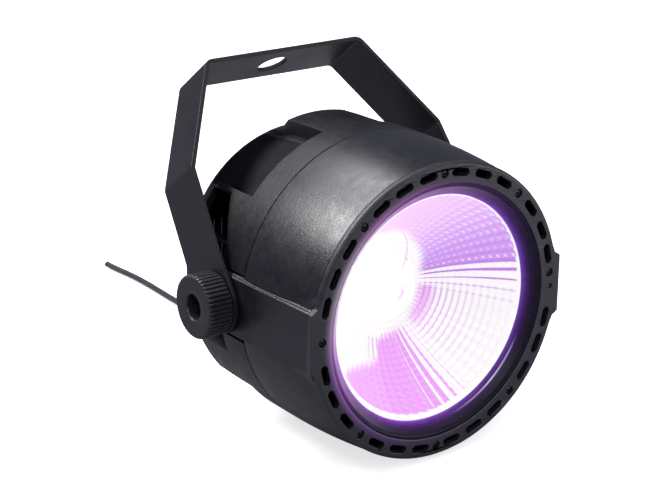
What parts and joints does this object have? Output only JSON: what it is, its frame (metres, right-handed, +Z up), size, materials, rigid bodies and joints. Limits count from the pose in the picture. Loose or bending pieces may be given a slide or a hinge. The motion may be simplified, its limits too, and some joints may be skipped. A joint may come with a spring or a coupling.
{
  "type": "par can light",
  "caption": "Small round par can stage light on a hanging yoke, with a faceted reflector, side clamp knobs that free its tilt, rear data sockets, and a stub of supply cable.",
  "frame": {"origin": "bottom centre of the bounding box, with the head level", "axes": "-Y is the way the beam leaves, +Y runs back along the beam axis to the cable, +Z up, X along the tilt axis"},
  "size_m": [0.1638, 0.29, 0.1579],
  "materials": {
    "yoke_paint": "satin",
    "friction_rubber": "matte",
    "bezel_plastic": "satin",
    "black_screw": "satin",
    "housing_plastic": "satin",
    "bright_screw": "satin",
    "collar_plastic": "gloss",
    "reflector_film": "gloss",
    "lens_clear": "gloss",
    "holder_plastic": "matte",
    "emitter_phosphor": "matte",
    "board_white": "satin",
    "thermal_sheet": "matte",
    "sink_aluminium": "satin",
    "fan_plastic": "satin",
    "stator_copper": "satin",
    "spacer_steel": "satin",
    "board_green": "satin",
    "transformer_tape": "satin",
    "capacitor_sleeve": "satin",
    "terminal_green": "satin",
    "display_black": "gloss",
    "window_smoke": "gloss",
    "switch_black": "satin",
    "button_grey": "matte",
    "socket_black": "satin",
    "socket_insert": "satin",
    "contact_metal": "gloss",
    "latch_metal": "satin",
    "microphone_can": "satin",
    "cover_paint": "satin",
    "gland_rubber": "matte",
    "cable_jacket": "satin",
    "core_insulation": "satin",
    "lead_insulation": "satin",
    "insert_brass": "satin",
    "washer_steel": "satin",
    "knob_plastic": "satin",
    "bolt_steel": "satin"
  },
  "bodies": {
    "yoke": {"yoke": "yoke_paint", "friction_washer_left": "friction_rubber", "friction_washer_right": "friction_rubber"},
    "head": {"front_bezel": "bezel_plastic", "bezel_screws": "black_screw", "front_housing": "housing_plastic", "rear_housing": "housing_plastic", "housing_screws": "bright_screw", "trim_collar": "collar_plastic", "reflector": "reflector_film", "led_lens": "lens_clear", "led_holder": "holder_plastic", "cob_emitter": "emitter_phosphor", "cob_board": "board_white", "led_screws": "bright_screw", "thermal_pad": "thermal_sheet", "heat_sink": "sink_aluminium", "heat_sink_screws": "bright_screw", "fan_frame": "fan_plastic", "fan_stator": "stator_copper", "fan_screws": "bright_screw", "fan_spacers": "spacer_steel", "power_board": "board_green", "transformer": "transformer_tape", "capacitors": "capacitor_sleeve", "terminal_block": "terminal_green", "board_screws": "bright_screw", "control_board": "board_green", "display_module": "display_black", "display_window": "window_smoke", "tact_switches": "switch_black", "dmx_input_socket": "socket_black", "dmx_input_insert": "socket_insert", "dmx_input_pins": "contact_metal", "dmx_output_socket": "socket_black", "dmx_output_insert": "socket_insert", "dmx_output_contacts": "contact_metal", "dmx_screws": "black_screw", "microphone": "microphone_can", "rear_cover": "cover_paint", "rear_cover_screws": "black_screw", "cable_gland": "gland_rubber", "power_cable": "cable_jacket", "cable_cores": "core_insulation", "led_wires": "lead_insulation", "threaded_insert_left": "insert_brass", "threaded_insert_right": "insert_brass"},
    "fan": {"fan_rotor": "fan_plastic"},
    "menu": {"menu_button": "button_grey"},
    "down": {"down_button": "button_grey"},
    "up": {"up_button": "button_grey"},
    "enter": {"enter_button": "button_grey"},
    "latch": {"dmx_latch": "latch_metal"},
    "clamp_left": {"washer_left": "washer_steel"},
    "clamp_right": {"washer_right": "washer_steel"},
    "knob_left": {"knob_left": "knob_plastic", "knob_bolt_left": "bolt_steel"},
    "knob_right": {"knob_right": "knob_plastic", "knob_bolt_right": "bolt_steel"}
  },
  "joints": [
    {"name": "head_tilt", "type": "hinge", "parent": "yoke", "child": "head", "pos_m": [0, -0.0816, 0.0676], "axis": [1, 0, 0], "range_deg": [-80, 76]},
    {"name": "fan_spin", "type": "hinge", "parent": "head", "child": "fan", "pos_m": [0, -0.075, 0.0676], "axis": [0, 1, 0], "continuous": true},
    {"name": "menu_press", "type": "slide", "parent": "head", "child": "menu", "axis": [0, -1, 0], "range_m": [0, 0.0004], "stiffness_N_per_m": 2000, "springref_m": -0.0002},
    {"name": "down_press", "type": "slide", "parent": "head", "child": "down", "axis": [0, -1, 0], "range_m": [0, 0.0004], "stiffness_N_per_m": 2000, "springref_m": -0.0002},
    {"name": "up_press", "type": "slide", "parent": "head", "child": "up", "axis": [0, -1, 0], "range_m": [0, 0.0004], "stiffness_N_per_m": 2000, "springref_m": -0.0002},
    {"name": "enter_press", "type": "slide", "parent": "head", "child": "enter", "axis": [0, -1, 0], "range_m": [0, 0.0004], "stiffness_N_per_m": 2000, "springref_m": -0.0002},
    {"name": "latch_press", "type": "slide", "parent": "head", "child": "latch", "axis": [0, -1, 0], "range_m": [0, 0.001], "stiffness_N_per_m": 800, "springref_m": -0.0005},
    {"name": "clamp_left_slide", "type": "slide", "parent": "head", "child": "clamp_left", "axis": [-1, 0, 0], "range_m": [0, 0.0025]},
    {"name": "knob_left_turn", "type": "hinge", "parent": "clamp_left", "child": "knob_left", "pos_m": [-0.0762, -0.0816, 0.0676], "axis": [-1, 0, 0], "range_deg": [0, 720]},
    {"name": "clamp_right_slide", "type": "slide", "parent": "head", "child": "clamp_right", "axis": [1, 0, 0], "range_m": [0, 0.0025]},
    {"name": "knob_right_turn", "type": "hinge", "parent": "clamp_right", "child": "knob_right", "pos_m": [0.0762, -0.0816, 0.0676], "axis": [1, 0, 0], "range_deg": [0, 720]}
  ],
  "couplings": [
    {"joint": "knob_left_turn", "follows": "clamp_left_slide", "rad_per_m": 5026.5},
    {"joint": "knob_right_turn", "follows": "clamp_right_slide", "rad_per_m": 5026.5}
  ]
}
